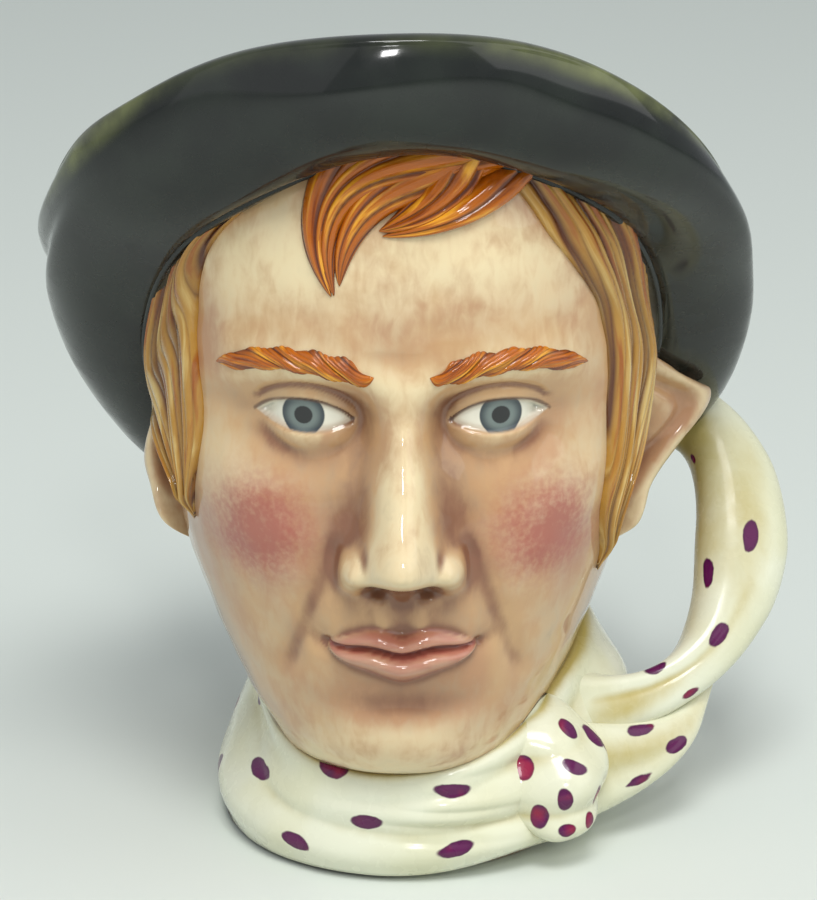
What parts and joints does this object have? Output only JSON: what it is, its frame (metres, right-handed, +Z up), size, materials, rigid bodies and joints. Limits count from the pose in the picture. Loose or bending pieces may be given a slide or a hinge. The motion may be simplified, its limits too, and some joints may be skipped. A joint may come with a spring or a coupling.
{
  "type": "character jug",
  "caption": "Glazed pottery jug in the form of a head: its open upturned hat is the mouth, and the tails of its spotted neckerchief are the side handle.",
  "frame": {"origin": "middle of the foot ring, on the surface that the jug stands on", "axes": "+Z up, -Y the way the face looks, +X the side of the handle"},
  "size_m": [0.1413, 0.1172, 0.162],
  "materials": {
    "skin_glaze": "painted flesh tones under a clear gloss glaze",
    "hat_glaze": "green-black gloss glaze, olive where it runs thin at the rim",
    "ginger_glaze": "ginger brushwork under a clear gloss glaze",
    "ochre_glaze": "ochre brushwork under a clear gloss glaze",
    "scarf_glaze": "cream with hand-dabbed plum spots under a clear gloss glaze",
    "bare_clay": "unglazed ring, glazed floor inside"
  },
  "bodies": {
    "root": {"foot": "bare_clay", "head_shell": "skin_glaze", "hat": "hat_glaze", "neckerchief": "scarf_glaze", "knot": "scarf_glaze", "handle": "scarf_glaze", "scarf_tail": "scarf_glaze", "ear_left": "skin_glaze", "ear_right": "skin_glaze", "hair_left": "ochre_glaze", "hair_right": "ochre_glaze", "hair_nape": "ginger_glaze", "forelock": "ginger_glaze", "eyebrow_left": "ginger_glaze", "eyebrow_right": "ginger_glaze"}
  },
  "joints": []
}
